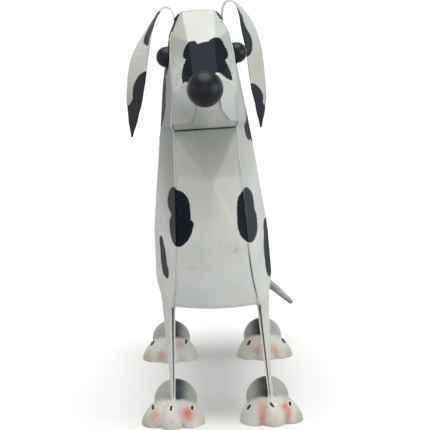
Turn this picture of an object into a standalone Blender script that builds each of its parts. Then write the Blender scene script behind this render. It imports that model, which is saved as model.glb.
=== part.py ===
import bpy
import numpy as np
from math import cos, pi, radians, sin
from mathutils import Vector

# A painted sheet-metal dog: folded steel panels welded into a hollow body, four folded
# legs on rounded paws, strip ears, ball nose, ball eyes and a curved tail.
# The dog looks along -Y. Left and right are the dog's own. Everything is in metres.

mm = 0.001

# Driving sizes
head_height = 0.455        # floor to the flat top of the head
trunk_length = 0.393       # toe tips to the rump
trunk_width = 0.136        # across the flanks
sheet = 0.0012             # steel sheet
gap = 0.0003               # clearance between pieces that touch
seam = 0.0003              # how far each sheet stops short of a welded corner
chin_recess = sheet        # the chin plate lies one sheet behind the cheeks
chest_bulge = 0.016        # how far the curved apron stands in front of its sides
chest_tip_depth = 0.017    # how far the folded tip stands in front of the chest folds
chest_tip_side = 0.0048    # the tip was folded off centre
nose_diameter = 0.0392
nose_side = -0.0020        # the ball was welded on off centre
eye_diameter = 0.0232
ear_sheet = 0.0012
ear_width = {"right": 0.041, "left": 0.044}
tail_root_diameter = 0.022
tail_tip_diameter = 0.0044
leg_slot = 0.0053          # across the open front edge of a leg at its top
leg_foot_width = 0.0034    # across a leg at the paw
front_foot_length = 0.010
rear_foot_length = 0.013
paw_width = 0.071
paw_length = 0.081
toe_height = 0.027
heel_height = 0.042
heel_width = 0.0485
front_stance = 0.1085      # between the middles of the front paws
rear_stance = 0.1196       # between the middles of the rear paws
rear_paw_back = 0.280      # from the front toe tips to the rear toe tips
front_toe_out = radians(6)
rear_toe_out = radians(2.0)
lean = 0.036               # the hand-built body leans this much per metre of height
head_tilt = 0.0385         # the head's right side hangs lower
head_turn = 0.045          # the muzzle is turned a little to the dog's left

# Corner points of the folded body, as half-width, distance back and height in
# millimetres on a dog 455 high, 393 long and 136 wide. figure_point carries them to the
# sizes above.
figure_height = 455
figure_length = 393
figure_width = 136

corners = {
    "crown": (17, 80, 455), "brow": (14, 35, 424), "bridge": (13, -4, 388),
    "temple_top": (20, 80, 453), "temple": (31.6, 60, 431), "eye_edge": (34.7, 42, 407),
    "cheek": (34.4, 26, 372), "cheek_low": (37, 32, 335),
    "chest_top": (34.2, 40, 328), "chest_fold": (36.1, 25, 275), "apron_top": (39.5, 26, 203),
    "apron_mid": (43.3, 30, 162), "apron_low": (46.5, 36, 132),
    "poll": (25, 84, 447), "skull": (33, 86, 430), "jowl": (39, 90, 398), "neck_high": (44, 92, 370),
    "neck": (50, 94, 325), "shoulder_high": (58, 106, 262), "shoulder": (64, 112, 212),
    "elbow_high": (50, 50, 183), "elbow": (53.5, 60, 160), "leg_front": (50.5, 37, 131),
    "leg_back": (60.8, 84, 130), "elbow_back": (66.5, 106, 150),
    "nape_high": (24, 104, 432), "nape": (30, 116, 395), "nape_low": (34, 126, 350),
    "withers_front": (38, 142, 312), "withers": (40, 170, 288), "back": (42, 250, 276),
    "croup": (40, 330, 262), "rump_high": (34, 376, 232), "rump": (34, 393, 188),
    "rump_low": (34, 390, 148),
    "rib_high": (58.5, 180, 255), "loin_high": (57, 260, 246), "thigh_high": (54, 330, 236),
    "buttock_high": (44, 372, 215),
    "rib_front": (65.5, 120, 195), "rib": (67.5, 190, 188), "loin": (66, 270, 185),
    "thigh": (62, 340, 180), "buttock": (50, 382, 174),
    "hem_front": (60, 120, 138), "hem_rib": (58, 200, 146), "hem_loin": (57.5, 280, 144),
    "hem_thigh": (57, 345, 140), "hem_rump": (44, 386, 146),
}
jaw_front_back, jaw_front_up = 8, 352
jaw_low_back, jaw_low_up = 28, 336
jaw_front_out = {"right": 11, "left": 17}      # the cheeks were bent in unevenly
jaw_low_out = {"right": 15, "left": 28}
nose_back, nose_up = -20, 378.5
eye_out = {"right": 37.8, "left": 39}
eye_back, eye_up = 60, 407.5
apron_columns = 9

# Ear centre lines from the root over the top to the tip: half-width, distance back, height.
ear_lines = {
    "right": [(24, 92, 428), (25, 92, 446), (29.5, 93, 458), (38.5, 94, 458.5), (50.5, 95, 441),
              (65.5, 95, 408), (73.8, 95, 372), (78.3, 93, 344), (82, 90, 318)],
    "left": [(26, 92, 428), (27, 92, 447), (31.5, 93, 461), (41, 94, 461), (51.5, 95, 444),
             (60, 95, 411), (63, 95, 376), (64, 93, 348), (63, 90, 320)],
}
ear_outline = [(0.0, 0.45), (0.3, 0.45), (0.44, 0.58), (0.6, 0.92), (0.7, 1.0), (0.8, 0.92),
               (0.9, 0.55), (1.0, 0.06)]    # share of the way down, share of the width
ear_flare = radians(27)    # how far the hanging leaf is turned to show its face in front
ear_twist_start = {"right": 0.44, "left": 0.34}
ear_twist_share = 0.22
ear_steps = 36

# Tail centre line: sideways, distance back, height.
tail_line = [(0, 384, 205), (3, 402, 182), (14, 413, 150), (36, 412, 112), (58, 404, 86),
             (80.5, 393, 67), (102, 380, 51)]
tail_steps = 24
tail_sides = 14

# Rear leg in side view, from the body down: distance back and height of its front edge, then of
# its folded back edge.
rear_leg_stations = [(300, 108, 354, 112), (325, 79, 351, 80), (316, 52, 337, 52)]
paw_turns = 40
paw_rings = 11


def figure_point(out, back, up):
    """Carries a point of the reference dog to the driving sizes."""
    return Vector((out * trunk_width / figure_width, back * trunk_length / figure_length,
                   up * head_height / figure_height))


def slouch(point):
    """The lean of the hand-built body, with the head tilted and turned."""
    foot = heel_height * 0.64
    rise = min(max((point.z - 0.29 * head_height) / (0.43 * head_height), 0), 1)
    turn = min(max((point.z - 0.72 * head_height) / (0.1 * head_height), 0), 1)
    pivot = figure_point(0, 80, 0).y
    x = point.x - lean * (point.z - foot) + head_turn * turn * (pivot - point.y)
    return Vector((x, point.y, point.z + head_tilt * rise * point.x))


def make_object(name, points, faces, smooth=False):
    mesh = bpy.data.meshes.new(name)
    mesh.from_pydata([tuple(p) for p in points], [], faces)
    mesh.validate()
    item = bpy.data.objects.new(name, mesh)
    bpy.context.collection.objects.link(item)
    if smooth:
        mesh.shade_smooth()
        mesh.set_sharp_from_angle(angle=radians(40))
    return item


def paint(item, name, color, roughness, metallic=0.0):
    material = bpy.data.materials.get(name)
    if material is None:
        material = bpy.data.materials.new(name)
        material.use_nodes = True
        shader = material.node_tree.nodes["Principled BSDF"]
        shader.inputs["Base Color"].default_value = (*color, 1)
        shader.inputs["Roughness"].default_value = roughness
        shader.inputs["Metallic"].default_value = metallic
    item.data.materials.clear()
    item.data.materials.append(material)


def white_enamel(item):
    paint(item, "white_enamel", (0.72, 0.72, 0.70), 0.38)


def black_enamel(item):
    paint(item, "black_enamel", (0.012, 0.015, 0.02), 0.25)


def grey_enamel(item):
    paint(item, "grey_enamel", (0.30, 0.31, 0.32), 0.45)


def paw_enamel(item):
    paint(item, "paw_enamel", (0.62, 0.60, 0.57), 0.42)


def cut(item, cutter):
    """Takes one solid out of another and keeps the result as plain mesh."""
    step = item.modifiers.new("cut", "BOOLEAN")
    step.operation = "DIFFERENCE"
    step.solver = "EXACT"
    step.object = cutter
    graph = bpy.context.evaluated_depsgraph_get()
    mesh = bpy.data.meshes.new_from_object(item.evaluated_get(graph))
    item.modifiers.clear()
    item.data = mesh


def hide_cutter(item):
    item.hide_render = True
    item.display_type = "WIRE"


class FoldedBody:
    """All corner points and panels of the body, which close into one hollow shape."""

    def __init__(self):
        self.points = {}
        for name, (out, back, up) in corners.items():
            self.points[name + " right"] = figure_point(-out, back, up)
            self.points[name + " left"] = figure_point(out, back, up)
        for side, sign in (("right", -1), ("left", 1)):
            self.points["jaw " + side] = figure_point(sign * jaw_front_out[side], jaw_front_back, jaw_front_up)
            self.points["jaw_low " + side] = figure_point(sign * jaw_low_out[side], jaw_low_back, jaw_low_up)
        tip = figure_point(0, corners["chest_fold"][1], corners["chest_fold"][2])
        self.points["tip"] = tip + Vector((chest_tip_side, -chest_tip_depth, 0))
        self.apron_rows = [self.arc(name) for name in ("apron_top", "apron_mid", "apron_low")]
        self.panels = {
            "head_shell": self.top() + self.both_sides(self.cheek),
            "chin_plate": self.chin(),
            "chest_panel": self.chest(),
            "side_panel_right": self.flank("right"),
            "side_panel_left": self.flank("left"),
            "back_panel": self.spine(),
            "belly_panel": self.belly(),
        }
        self.solve_offsets()

    def arc(self, name):
        """A row of points across the curved apron, between the two chest folds."""
        right, left = self.points[name + " right"], self.points[name + " left"]
        row = [name + " right"]
        for column in range(1, apron_columns - 1):
            share = column / (apron_columns - 1)
            label = name + " " + str(column)
            forward = chest_bulge * (1 - (2 * share - 1) ** 2)
            self.points[label] = right.lerp(left, share) + Vector((0, -forward, 0))
            row.append(label)
        return row + [name + " left"]

    def both_sides(self, build):
        return build("right") + build("left")

    def sided(self, side, faces):
        """Names the corners of one side; the left side turns the other way round."""
        out = []
        for face in faces:
            named = [corner if corner == "tip" else corner + " " + side for corner in face]
            out.append(named if side == "right" else named[::-1])
        return out

    def strip(self, names):
        """Quads between the right and left corners of a list that runs from front to back."""
        return [[a + " right", b + " right", b + " left", a + " left"] for a, b in zip(names, names[1:])]

    def top(self):
        return self.strip(["crown", "brow", "bridge"])

    def cheek(self, side):
        return self.sided(side, [
            ("crown", "temple_top", "temple", "brow"), ("brow", "temple", "eye_edge"),
            ("brow", "eye_edge", "bridge"), ("bridge", "eye_edge", "cheek"), ("bridge", "cheek", "jaw"),
            ("jaw", "cheek", "jaw_low"), ("jaw_low", "cheek", "cheek_low")])

    def chin(self):
        faces = self.strip(["bridge", "jaw", "jaw_low", "chest_top"])
        return faces + self.both_sides(lambda side: self.sided(side, [("jaw_low", "cheek_low", "chest_top")]))

    def chest(self):
        faces = [["chest_top right", "tip", "chest_top left"]]
        faces += self.both_sides(lambda side: self.sided(side, [
            ("chest_top", "chest_fold", "tip"), ("chest_fold", "apron_top", "tip")]))
        first = self.apron_rows[0]
        faces += [["tip", a, b] for a, b in zip(first, first[1:])]
        for upper, lower in zip(self.apron_rows, self.apron_rows[1:]):
            for column in range(apron_columns - 1):
                faces.append([upper[column], lower[column], lower[column + 1], upper[column + 1]])
        return faces

    def flank(self, side):
        return self.sided(side, [
            ("crown", "nape_high", "poll", "temple_top"), ("temple_top", "poll", "skull", "temple"),
            ("temple", "skull", "jowl", "eye_edge"), ("eye_edge", "jowl", "neck_high", "cheek"),
            ("cheek", "neck_high", "neck", "cheek_low"), ("cheek_low", "neck", "chest_top"),
            ("chest_top", "neck", "shoulder_high", "chest_fold"),
            ("chest_fold", "shoulder_high", "shoulder", "apron_top"),
            ("apron_top", "shoulder", "elbow_high"), ("apron_top", "elbow_high", "apron_mid"),
            ("apron_mid", "elbow_high", "elbow"), ("apron_mid", "elbow", "leg_front", "apron_low"),
            ("elbow_high", "shoulder", "rib_front"), ("elbow_high", "rib_front", "elbow"),
            ("elbow", "rib_front", "elbow_back"), ("elbow", "elbow_back", "leg_back", "leg_front"),
            ("poll", "nape_high", "skull"), ("skull", "nape_high", "nape", "jowl"),
            ("jowl", "nape", "nape_low", "neck_high"), ("neck_high", "nape_low", "withers_front", "neck"),
            ("neck", "withers_front", "withers"), ("neck", "withers", "rib_high", "shoulder_high"),
            ("withers", "back", "loin_high", "rib_high"), ("back", "croup", "thigh_high", "loin_high"),
            ("croup", "rump_high", "buttock_high", "thigh_high"),
            ("shoulder_high", "rib_high", "rib_front", "shoulder"), ("rib_high", "rib", "rib_front"),
            ("rib_high", "loin_high", "loin", "rib"), ("loin_high", "thigh_high", "thigh", "loin"),
            ("thigh_high", "buttock_high", "buttock", "thigh"),
            ("buttock_high", "rump_high", "rump", "buttock"),
            ("rib_front", "hem_front", "elbow_back"), ("elbow_back", "hem_front", "leg_back"),
            ("rib_front", "rib", "hem_rib", "hem_front"), ("rib", "loin", "hem_loin", "hem_rib"),
            ("loin", "thigh", "hem_thigh", "hem_loin"), ("thigh", "buttock", "hem_rump", "hem_thigh"),
            ("buttock", "rump", "rump_low", "hem_rump")])

    def spine(self):
        names = ["rump_low", "rump", "rump_high", "croup", "back", "withers", "withers_front",
                 "nape_low", "nape", "nape_high", "crown"]
        return self.strip(names)

    def belly(self):
        names = ["leg_front", "leg_back", "hem_front", "hem_rib", "hem_loin", "hem_thigh", "hem_rump", "rump_low"]
        row = self.apron_rows[-1]
        middle = self.points[row[apron_columns // 2]]
        self.points["belly front"] = Vector((0, self.points["leg_front right"].y + 2 * mm, middle.z))
        fan = [["belly front", b, a] for a, b in zip(row, row[1:])]
        fan += [["belly front", row[0], "leg_front right"], ["belly front", "leg_front left", row[-1]],
                ["belly front", "leg_front right", "leg_back right"],
                ["belly front", "leg_back left", "leg_front left"],
                ["belly front", "leg_back right", "leg_back left"]]
        return fan + self.strip(names[1:])

    def triangles(self, faces):
        """Splits four-cornered faces along the diagonal that keeps the sheet convex."""
        out = []
        for face in faces:
            if len(face) == 3:
                out.append(face)
                continue
            a, b, c, d = (self.points[name] for name in face)
            normal = (c - a).cross(d - b)
            if ((a + c) / 2 - (b + d) / 2).dot(normal) > 0:
                out += [[face[0], face[1], face[2]], [face[0], face[2], face[3]]]
            else:
                out += [[face[0], face[1], face[3]], [face[1], face[2], face[3]]]
        return out

    def normal(self, face):
        a, b, c = (self.points[name] for name in face)
        return (b - a).cross(c - a).normalized()

    def solve_offsets(self):
        """For each corner, the step that moves every face round it inwards by one unit."""
        self.panels = {name: self.triangles(faces) for name, faces in self.panels.items()}
        around = {}
        for faces in self.panels.values():
            for face in faces:
                normal = self.normal(face)
                for name in face:
                    around.setdefault(name, []).append(normal)
        self.inward = {}
        for name, normals in around.items():
            kept = []
            for normal in normals:
                if all(normal.dot(other) < 0.999 for other in kept):
                    kept.append(normal)
            rows = np.array([tuple(n) for n in kept])
            self.inward[name] = Vector(np.linalg.pinv(rows, rcond=0.22) @ -np.ones(len(rows)))

    def seam_steps(self, faces):
        """For each corner on a panel's edge, the step along the sheet that opens the seam."""
        edges = {}
        for face in faces:
            for a, b in zip(face, face[1:] + face[:1]):
                edges[(a, b)] = face
        needs = {}
        for (a, b), face in edges.items():
            if (b, a) in edges:
                continue
            normal = self.normal(face)
            along = (self.points[b] - self.points[a]).normalized()
            for name in (a, b):
                needs.setdefault(name, []).append((normal.cross(along), 1.0))
                needs[name].append((normal, 0.0))
        steps = {}
        for name, rows in needs.items():
            lines = np.array([tuple(row) for row, _ in rows])
            wanted = np.array([value for _, value in rows])
            steps[name] = Vector(np.linalg.pinv(lines, rcond=0.22) @ wanted)
        return steps, [edge for edge in edges if (edge[1], edge[0]) not in edges]

    def panel(self, node, depth=0.0):
        """One folded panel: an outer skin, an inner skin one sheet behind it, and its edges."""
        faces = self.panels[node]
        steps, rim = self.seam_steps(faces)
        names = sorted({name for face in faces for name in face})
        index = {name: number for number, name in enumerate(names)}
        points = []
        for level in (depth, depth + sheet):
            for name in names:
                step = steps.get(name, Vector((0, 0, 0))) * seam
                points.append(slouch(self.points[name] + self.inward[name] * level + step))
        count = len(names)
        outer = [[index[name] for name in face] for face in faces]
        inner = [[number + count for number in face[::-1]] for face in outer]
        edge = []
        for a, b in rim:
            edge.append([index[b], index[a], index[a] + count])
            edge.append([index[b], index[a] + count, index[b] + count])
        item = make_object(node, points, outer + inner + edge)
        white_enamel(item)
        return item

    def outer_form(self):
        """The closed outer form of the body with its clearance, to trim what is welded on it."""
        names = sorted(self.inward)
        index = {name: number for number, name in enumerate(names)}
        points = [slouch(self.points[name] - self.inward[name] * gap) for name in names]
        faces = [[index[name] for name in face] for panel in self.panels.values() for face in panel]
        item = make_object("body_outer_form", points, faces)
        hide_cutter(item)
        return item


def ball(name, centre, diameter, body_form, segments=28, rings=16):
    """A ball that is trimmed where it sits on the body."""
    points = []
    for ring in range(1, rings):
        up = pi * ring / rings
        for turn in range(segments):
            around = 2 * pi * turn / segments
            spot = Vector((sin(up) * cos(around), sin(up) * sin(around), cos(up)))
            points.append(slouch(centre) + spot * diameter / 2)
    points += [slouch(centre) + Vector((0, 0, diameter / 2)), slouch(centre) - Vector((0, 0, diameter / 2))]
    top, bottom = len(points) - 2, len(points) - 1
    faces = []
    for ring in range(rings - 2):
        for turn in range(segments):
            a = ring * segments + turn
            b = ring * segments + (turn + 1) % segments
            faces.append([a, a + segments, b + segments, b])
    last = (rings - 2) * segments
    for turn in range(segments):
        following = (turn + 1) % segments
        faces.append([top, turn, following])
        faces.append([bottom, last + following, last + turn])
    item = make_object(name, points, faces, smooth=True)
    cut(item, body_form)
    black_enamel(item)
    return item


def smooth_path(points, steps):
    """Points read at even steps from a smooth curve through the given ones."""
    ends = [points[0] * 2 - points[1]] + points + [points[-1] * 2 - points[-2]]
    out = []
    spans = len(points) - 1
    for number in range(steps + 1):
        place = min(number / steps * spans, spans - 1e-9)
        span = int(place)
        t = place - span
        p0, p1, p2, p3 = ends[span:span + 4]
        out.append(((p1 * 2) + (p2 - p0) * t + (p0 * 2 - p1 * 5 + p2 * 4 - p3) * t ** 2
                    + (p1 * 3 - p0 - p2 * 3 + p3) * t ** 3) * 0.5)
    return out


def read_outline(outline, share):
    for (a, low), (b, high) in zip(outline, outline[1:]):
        if share <= b:
            t = (share - a) / (b - a)
            t = t * t * (3 - 2 * t)
            return low + (high - low) * t
    return outline[-1][1]


def ear(side, body_form):
    """A strip bent over from the side of the head that widens into a hanging leaf."""
    sign = -1 if side == "right" else 1
    path = smooth_path([figure_point(sign * x, y, z) for x, y, z in ear_lines[side]], ear_steps)
    points = []
    for number, middle in enumerate(path):
        share = number / ear_steps
        ahead = path[min(number + 1, ear_steps)] - path[max(number - 1, 0)]
        leaf = min(max((share - ear_twist_start[side]) / ear_twist_share, 0), 1)
        flare = ear_flare * leaf * leaf * (3 - 2 * leaf)
        across = Vector((sign * sin(flare), cos(flare), 0))
        across = (across - ahead.normalized() * across.dot(ahead.normalized())).normalized()
        face = ahead.normalized().cross(across).normalized() * (ear_sheet / 2)
        half = read_outline(ear_outline, share) * ear_width[side] / 2
        for edge, side_step in ((-half, -1), (half, -1), (half, 1), (-half, 1)):
            points.append(slouch(middle + across * edge + face * side_step))
    faces = []
    for number in range(ear_steps):
        a = 4 * number
        for k in range(4):
            following = (k + 1) % 4
            faces.append([a + k, a + following, a + 4 + following, a + 4 + k])
    last = 4 * ear_steps
    faces += [[3, 2, 1, 0], [last, last + 1, last + 2, last + 3]]
    item = make_object("ear_" + side, points, faces, smooth=True)
    cut(item, body_form)
    white_enamel(item)
    return item


def tail(body_form):
    """A tapered bar that hangs from the rump and curves to the dog's left."""
    path = smooth_path([figure_point(x, y, z) for x, y, z in tail_line], tail_steps)
    points = []
    for number, middle in enumerate(path):
        share = number / tail_steps
        ahead = (path[min(number + 1, tail_steps)] - path[max(number - 1, 0)]).normalized()
        side = ahead.cross(Vector((0, -1, 0))).normalized()
        other = ahead.cross(side)
        thick = tail_root_diameter + (tail_tip_diameter - tail_root_diameter) * share ** 1.35
        for turn in range(tail_sides):
            around = 2 * pi * turn / tail_sides
            points.append(slouch(middle + (side * cos(around) + other * sin(around)) * thick / 2))
    faces = []
    for number in range(tail_steps):
        for turn in range(tail_sides):
            a = number * tail_sides + turn
            b = number * tail_sides + (turn + 1) % tail_sides
            faces.append([a, b, b + tail_sides, a + tail_sides])
    last = tail_steps * tail_sides
    points.append(slouch(path[-1] + (path[-1] - path[-2]).normalized() * tail_tip_diameter / 3))
    tip = len(points) - 1
    faces += [[tip, last + turn, last + (turn + 1) % tail_sides] for turn in range(tail_sides)]
    faces.append(list(range(tail_sides))[::-1])
    item = make_object("tail", points, faces, smooth=True)
    cut(item, body_form)
    grey_enamel(item)
    return item


def leg(node, sign, stations):
    """A folded channel: an outer and an inner wing that meet at the back edge, open in front."""
    rows = []
    for front, back, outer_front, outer_back, width in stations:
        inner_front = outer_front - width
        share = 1 - 2 * sheet / width
        middle = outer_front - width / 2
        slot = front.lerp(back, share)
        slot_out = middle + (outer_back - middle) * share
        section = [(outer_front, front), (outer_back, back), (inner_front, front),
                   (inner_front + sheet, front), (slot_out, slot), (outer_front - sheet, front)]
        rows.append([slouch(Vector((sign * out, spot.y, spot.z))) for out, spot in section])
    points = [point for row in rows for point in row]
    faces = []
    for number in range(len(rows) - 1):
        a = 6 * number
        for k in range(6):
            following = (k + 1) % 6
            faces.append([a + k, a + 6 + k, a + 6 + following, a + following])
    last = 6 * (len(rows) - 1)
    for start, turn in ((0, 1), (last, -1)):
        for face in ((0, 1, 4, 5), (1, 2, 3, 4)):
            faces.append([start + k for k in face][::turn])
    if sign > 0:
        faces = [face[::-1] for face in faces]
    item = make_object(node, points, faces)
    white_enamel(item)
    return item


def leg_station(top_share, top, foot):
    """A level of a straight leg, as a share of the way from its foot to its top."""
    return tuple(f + (t - f) * top_share for t, f in zip(top, foot))


def front_leg(side, body, paw_form):
    sign = -1 if side == "right" else 1
    drop = Vector((0, 0, -gap))
    front, back = body.points["leg_front left"] + drop, body.points["leg_back left"] + drop
    low = heel_height * 0.45
    paw_middle = paw_length * 0.46
    foot_front = Vector((0, paw_middle - front_foot_length * 0.75, low))
    foot_back = Vector((0, paw_middle + front_foot_length * 0.25, low))
    foot_out = front_stance / 2 + leg_foot_width / 2
    top = (Vector((0, front.y, front.z)), Vector((0, back.y, back.z)), front.x, back.x, leg_slot)
    foot = (foot_front, foot_back, foot_out, foot_out + 0.1 * mm, leg_foot_width)
    levels = [leg_station(share, top, foot) for share in (1.0, 0.66, 0.33, 0.0)]
    item = leg("front_leg_" + side, sign, levels)
    cut(item, paw_form)
    return item


def rear_leg(side, body, paw_form):
    sign = -1 if side == "right" else 1
    drop = Vector((0, 0, -gap))
    front, back = body.points["hem_loin left"] + drop, body.points["hem_thigh left"] + drop
    paw_middle = rear_paw_back + paw_length * 0.46
    low = heel_height * 0.45
    foot_out = rear_stance / 2 + leg_foot_width / 2 + 1.5 * mm
    levels = [(Vector((0, front.y, front.z)), Vector((0, back.y, back.z)), front.x, back.x, leg_slot)]
    for number, (y0, z0, y1, z1) in enumerate(rear_leg_stations):
        share = (number + 1) / (len(rear_leg_stations) + 1)
        width = leg_slot + (leg_foot_width - leg_slot) * share
        out = front.x + (foot_out - front.x) * share
        start, end = figure_point(0, y0, z0), figure_point(0, y1, z1)
        levels.append((start, end, out, out + 0.6 * mm * (1 - share), width))
    levels.append((Vector((0, paw_middle - rear_foot_length * 0.6, low)),
                   Vector((0, paw_middle + rear_foot_length * 0.4, low)), foot_out, foot_out + 0.1 * mm,
                   leg_foot_width))
    item = leg("rear_leg_" + side, sign, levels)
    cut(item, paw_form)
    return item


def paw_lobes():
    """Three toes, a palm and the heel: centre, half sizes, turn, how far each leans in by its
    top, and the lowest share of its height at which its sides still draw in."""
    low = 0.3 * toe_height
    tall = toe_height - low
    heel_middle = heel_height - heel_width / 2
    toe = (0.19 * paw_width, 0.25 * paw_length, 0.97 * tall)
    return [
        ((0, 0.28 * paw_length, low), (0.205 * paw_width, 0.25 * paw_length, tall), 0,
         (0, 0.08 * paw_length), -1),
        ((-0.262 * paw_width, 0.36 * paw_length, low), toe, 20, (0.13 * paw_width, 0.08 * paw_length), -1),
        ((0.262 * paw_width, 0.36 * paw_length, low), toe, -20, (-0.13 * paw_width, 0.08 * paw_length), -1),
        ((0, 0.52 * paw_length, low), (0.30 * paw_width, 0.27 * paw_length, 0.94 * tall), 0, (0, 0), -1),
        ((0, 0.74 * paw_length, heel_middle), (heel_width / 2, 0.26 * paw_length, heel_width / 2), 0,
         (0, 0), -0.2),
    ]


def inside_paw(x, y, z, grow):
    """Below zero inside the paw: the lobes run into each other with a soft crease."""
    softness = 0.05
    total = 0
    for (cx, cy, cz), (ax, ay, az), turn, (lean_x, lean_y), lowest in paw_lobes():
        c, s = cos(radians(turn)), sin(radians(turn))
        rise = (z - cz) / (az + grow)
        dx, dy = x - cx - lean_x * rise, y - cy - lean_y * rise
        u, v = (c * dx + s * dy) / (ax + grow), (c * dy - s * dx) / (ay + grow)
        total = total + np.exp(-(np.sqrt(u * u + v * v + np.maximum(rise, lowest) ** 2) - 1) / softness)
    return -softness * np.log(total)


def paw_shell(name, place, turn, grow=0.0):
    """The paw as rings round a point on the floor under its middle, each at its surface."""
    middle = 0.47 * paw_length
    around = np.arange(paw_turns) * 2 * pi / paw_turns
    rise = np.arange(paw_rings) * (pi / 2) / paw_rings
    a, e = np.meshgrid(around, rise)
    a, e = np.append(a.ravel(), 0), np.append(e.ravel(), pi / 2)
    dx, dy, dz = np.cos(e) * np.cos(a), np.cos(e) * np.sin(a), np.sin(e)
    near, far = np.full(len(a), 0.1 * paw_width), np.full(len(a), paw_length)
    for _ in range(30):
        reach = (near + far) / 2
        inside = inside_paw(dx * reach, middle + dy * reach, dz * reach, grow) < 0
        near, far = np.where(inside, reach, near), np.where(inside, far, reach)
    points = []
    for x, y, z in zip(dx * near, middle + dy * near, dz * near):
        spin = Vector((x, y - middle, 0))
        spin = Vector((cos(turn) * spin.x - sin(turn) * spin.y, sin(turn) * spin.x + cos(turn) * spin.y, z))
        points.append(place + spin + Vector((0, middle, -grow)))
    faces = [list(range(paw_turns))[::-1]]
    for ring in range(paw_rings - 1):
        for k in range(paw_turns):
            p, q = ring * paw_turns + k, ring * paw_turns + (k + 1) % paw_turns
            faces.append([p, q, q + paw_turns, p + paw_turns])
    last, top = (paw_rings - 1) * paw_turns, len(points) - 1
    faces += [[last + k, last + (k + 1) % paw_turns, top] for k in range(paw_turns)]
    return make_object(name, points, faces, smooth=True)


def paw_and_leg(end, side, body):
    sign = -1 if side == "right" else 1
    stance, back, toe_out = ((front_stance, 0.0, front_toe_out) if end == "front"
                             else (rear_stance, rear_paw_back, rear_toe_out))
    place = Vector((sign * stance / 2, back, 0))
    paw = paw_shell("paw_" + end + "_" + side, place, sign * toe_out)
    paw_enamel(paw)
    form = paw_shell("paw_outer_form_" + end + "_" + side, place, sign * toe_out, grow=gap)
    hide_cutter(form)
    build = front_leg if end == "front" else rear_leg
    return [paw, build(side, body, form)]


def centre_on_floor(pieces):
    """Puts the origin under the middle of the dog, on the floor."""
    spots = [vertex.co for piece in pieces for vertex in piece.data.vertices]
    middle = Vector([(min(p[k] for p in spots) + max(p[k] for p in spots)) / 2 for k in range(2)] + [0])
    middle.z = min(p.z for p in spots)
    for item in bpy.data.objects:
        for vertex in item.data.vertices:
            vertex.co -= middle


def main():
    for item in list(bpy.data.objects):
        bpy.data.objects.remove(item, do_unlink=True)
    body = FoldedBody()
    pieces = [body.panel(node, chin_recess if node == "chin_plate" else 0.0) for node in body.panels]
    body_form = body.outer_form()
    nose = figure_point(0, nose_back, nose_up) + Vector((nose_side, 0, 0))
    pieces.append(ball("nose_ball", nose, nose_diameter, body_form))
    for side, sign in (("right", -1), ("left", 1)):
        eye = figure_point(sign * eye_out[side], eye_back, eye_up)
        pieces.append(ball("eye_" + side, eye, eye_diameter, body_form, 24, 14))
        pieces.append(ear(side, body_form))
        for end in ("front", "rear"):
            pieces += paw_and_leg(end, side, body)
    pieces.append(tail(body_form))
    centre_on_floor(pieces)


main()
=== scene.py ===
from math import cos, pi, radians, sin

import bmesh
import bpy
import numpy as np
from mathutils import Matrix, Vector, noise
from mathutils.bvhtree import BVHTree
from mathutils.geometry import convex_hull_2d
from mathutils.kdtree import KDTree


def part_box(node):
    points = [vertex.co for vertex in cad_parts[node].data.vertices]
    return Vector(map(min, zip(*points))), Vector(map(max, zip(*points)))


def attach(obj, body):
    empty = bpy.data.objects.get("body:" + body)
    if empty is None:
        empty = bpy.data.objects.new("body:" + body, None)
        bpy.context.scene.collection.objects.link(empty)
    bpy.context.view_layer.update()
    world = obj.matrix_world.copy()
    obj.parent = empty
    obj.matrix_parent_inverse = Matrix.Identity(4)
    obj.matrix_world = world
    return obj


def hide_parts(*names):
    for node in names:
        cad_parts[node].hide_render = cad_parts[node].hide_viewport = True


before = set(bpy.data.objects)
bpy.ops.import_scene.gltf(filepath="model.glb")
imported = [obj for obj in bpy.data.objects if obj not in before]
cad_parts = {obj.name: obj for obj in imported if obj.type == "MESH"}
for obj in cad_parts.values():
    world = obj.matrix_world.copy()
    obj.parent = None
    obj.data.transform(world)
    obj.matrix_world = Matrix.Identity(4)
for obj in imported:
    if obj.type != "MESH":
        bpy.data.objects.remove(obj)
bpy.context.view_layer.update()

mm = 0.001
print("frame loaded:", len(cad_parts), "nodes")


# Where the photograph was taken from, measured from the front paws
photoCamera = {
    "besidePaws": -26.6 * mm,
    "beforeToes": 1803 * mm,
    "aboveFloor": 564.4 * mm,
    "lookDown": radians(10.21),
    "lookAside": radians(0.755),
    "roll": radians(1.489),
    "focalPixels": 1700,
    "side": 430,             # pixels across the square picture
    "sensor": 36,            # mm
}


def pawsMiddle():
    low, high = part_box("paw_front_right")[0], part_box("paw_front_left")[1]
    return Vector(((low.x + high.x) / 2, low.y, 0))


def cameraAxes():
    down, aside, roll = photoCamera["lookDown"], photoCamera["lookAside"], photoCamera["roll"]
    ahead = Vector((sin(aside) * cos(down), cos(aside) * cos(down), -sin(down)))
    level = Vector((cos(aside), -sin(aside), 0))
    upright = level.cross(ahead)
    return level * cos(roll) - upright * sin(roll), upright * cos(roll) + level * sin(roll), ahead


cameraPlace = pawsMiddle() + Vector((photoCamera["besidePaws"], -photoCamera["beforeToes"],
                                     photoCamera["aboveFloor"]))
cameraRight, cameraUp, cameraAhead = cameraAxes()


def toPixels(places):
    # pixel places in the photograph, and how many mm one pixel spans there
    away = places - np.array(cameraPlace)
    depth = away @ np.array(cameraAhead)
    half, focal = photoCamera["side"] / 2, photoCamera["focalPixels"]
    across = half + focal * (away @ np.array(cameraRight)) / depth
    down = half - focal * (away @ np.array(cameraUp)) / depth
    return np.stack([across, down], axis=1), depth / focal / mm


def facesCamera(places, normals):
    towards = np.array(cameraPlace) - places
    return np.sum(towards * normals, axis=1) / np.linalg.norm(towards, axis=1)


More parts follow.
